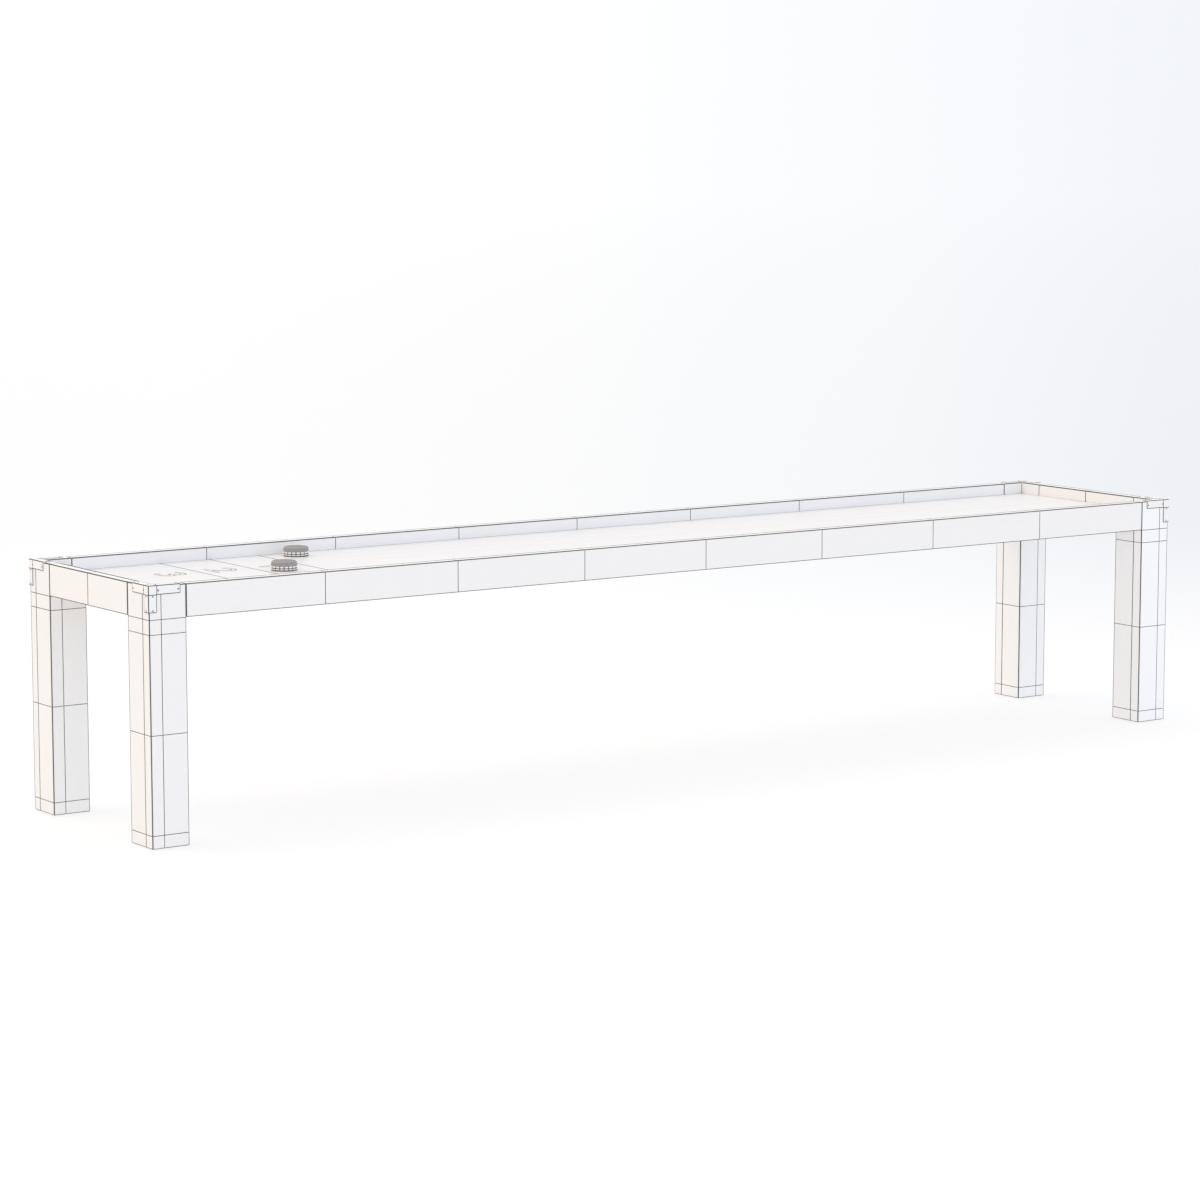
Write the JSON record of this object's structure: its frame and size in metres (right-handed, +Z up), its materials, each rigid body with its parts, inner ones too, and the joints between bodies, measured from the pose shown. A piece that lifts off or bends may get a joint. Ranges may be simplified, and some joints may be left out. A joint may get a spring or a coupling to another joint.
{
  "type": "shuffleboard table",
  "caption": "Long post-and-rail shuffleboard table with a wall-to-wall playfield, scoring zones at one end, corner brackets, levelling feet and sliding pucks.",
  "frame": {"origin": "on the floor under the middle of the table", "axes": "+X along the table away from the scoring end, +Y from the front long side to the back, +Z up"},
  "size_m": [4.2736, 0.8236, 0.8323],
  "materials": {
    "white_paint": "satin white paint over close-grained hardwood",
    "playing_surface": "clear glossy coat over pale laminated maple",
    "bare_timber": "sawn and sanded, unpainted",
    "bracket_metal": "satin white powder coat",
    "steel": "bright zinc plate",
    "puck_steel": "turned, with a two-row grip band",
    "puck_cap": "fine satin",
    "pad_plastic": "matt"
  },
  "bodies": {
    "table": {"front_rail": "white_paint", "back_rail": "white_paint", "scoring_end_rail": "white_paint", "far_end_rail": "white_paint", "front_left_post_stile": "white_paint", "front_left_post_side_stave": "white_paint", "front_left_post_end_stave": "white_paint", "front_left_post_core": "white_paint", "front_left_foot_block": "white_paint", "front_left_leveler_insert": "steel", "front_left_corner_bracket": "bracket_metal", "front_right_post_stile": "white_paint", "front_right_post_side_stave": "white_paint", "front_right_post_end_stave": "white_paint", "front_right_post_core": "white_paint", "front_right_foot_block": "white_paint", "front_right_leveler_insert": "steel", "front_right_corner_bracket": "bracket_metal", "back_left_post_stile": "white_paint", "back_left_post_side_stave": "white_paint", "back_left_post_end_stave": "white_paint", "back_left_post_core": "white_paint", "back_left_foot_block": "white_paint", "back_left_leveler_insert": "steel", "back_left_corner_bracket": "bracket_metal", "back_right_post_stile": "white_paint", "back_right_post_side_stave": "white_paint", "back_right_post_end_stave": "white_paint", "back_right_post_core": "white_paint", "back_right_foot_block": "white_paint", "back_right_leveler_insert": "steel", "back_right_corner_bracket": "bracket_metal", "playfield": "playing_surface", "front_cleat": "bare_timber", "back_cleat": "bare_timber", "cross_beam_1": "bare_timber", "cross_beam_2": "bare_timber", "cross_beam_3": "bare_timber", "cross_beam_4": "bare_timber", "scoring_end_beam": "bare_timber", "far_end_beam": "bare_timber", "left_adjuster_front_angle": "steel", "left_adjuster_back_angle": "steel", "right_adjuster_front_angle": "steel", "right_adjuster_back_angle": "steel"},
    "front_left_leveler_pad": {"front_left_leveler_pad": "pad_plastic"},
    "front_left_leveler_stem": {"front_left_leveler_stem": "steel"},
    "front_right_leveler_pad": {"front_right_leveler_pad": "pad_plastic"},
    "front_right_leveler_stem": {"front_right_leveler_stem": "steel"},
    "back_left_leveler_pad": {"back_left_leveler_pad": "pad_plastic"},
    "back_left_leveler_stem": {"back_left_leveler_stem": "steel"},
    "back_right_leveler_pad": {"back_right_leveler_pad": "pad_plastic"},
    "back_right_leveler_stem": {"back_right_leveler_stem": "steel"},
    "left_adjuster_rod": {"left_adjuster_rod": "steel"},
    "right_adjuster_rod": {"right_adjuster_rod": "steel"},
    "front_puck": {"front_puck_weight": "puck_steel", "front_puck_cap": "puck_cap"},
    "rear_puck": {"rear_puck_weight": "puck_steel", "rear_puck_cap": "puck_cap"}
  },
  "joints": [
    {"name": "front_left_leveler_travel", "type": "slide", "parent": "table", "child": "front_left_leveler_pad", "axis": [0, 0, -1], "range_m": [0, 0.0105]},
    {"name": "front_left_leveler_turn", "type": "hinge", "parent": "front_left_leveler_pad", "child": "front_left_leveler_stem", "pos_m": [-2.068, -0.3375, 0.025], "axis": [0, 0, -1], "range_deg": [0, 2165]},
    {"name": "front_right_leveler_travel", "type": "slide", "parent": "table", "child": "front_right_leveler_pad", "axis": [0, 0, -1], "range_m": [0, 0.0105]},
    {"name": "front_right_leveler_turn", "type": "hinge", "parent": "front_right_leveler_pad", "child": "front_right_leveler_stem", "pos_m": [2.068, -0.3375, 0.025], "axis": [0, 0, -1], "range_deg": [0, 2165]},
    {"name": "back_left_leveler_travel", "type": "slide", "parent": "table", "child": "back_left_leveler_pad", "axis": [0, 0, -1], "range_m": [0, 0.0105]},
    {"name": "back_left_leveler_turn", "type": "hinge", "parent": "back_left_leveler_pad", "child": "back_left_leveler_stem", "pos_m": [-2.068, 0.3375, 0.025], "axis": [0, 0, -1], "range_deg": [0, 2165]},
    {"name": "back_right_leveler_travel", "type": "slide", "parent": "table", "child": "back_right_leveler_pad", "axis": [0, 0, -1], "range_m": [0, 0.0105]},
    {"name": "back_right_leveler_turn", "type": "hinge", "parent": "back_right_leveler_pad", "child": "back_right_leveler_stem", "pos_m": [2.068, 0.3375, 0.025], "axis": [0, 0, -1], "range_deg": [0, 2165]},
    {"name": "left_adjuster_turn", "type": "hinge", "parent": "table", "child": "left_adjuster_rod", "pos_m": [-0.9, 0, 0.738], "axis": [0, 1, 0], "range_deg": [-720, 720]},
    {"name": "right_adjuster_turn", "type": "hinge", "parent": "table", "child": "right_adjuster_rod", "pos_m": [0.9, 0, 0.738], "axis": [0, 1, 0], "range_deg": [-720, 720]},
    {"name": "front_puck_slide", "type": "slide", "parent": "table", "child": "front_puck", "axis": [1, 0, 0], "range_m": [-0.6223, 3.4713]},
    {"name": "rear_puck_slide", "type": "slide", "parent": "table", "child": "rear_puck", "axis": [1, 0, 0], "range_m": [-0.8456, 3.248]}
  ],
  "couplings": [
    {"joint": "front_left_leveler_turn", "follows": "front_left_leveler_travel", "rad_per_m": 3590.4},
    {"joint": "front_right_leveler_turn", "follows": "front_right_leveler_travel", "rad_per_m": 3590.4},
    {"joint": "back_left_leveler_turn", "follows": "back_left_leveler_travel", "rad_per_m": 3590.4},
    {"joint": "back_right_leveler_turn", "follows": "back_right_leveler_travel", "rad_per_m": 3590.4}
  ]
}
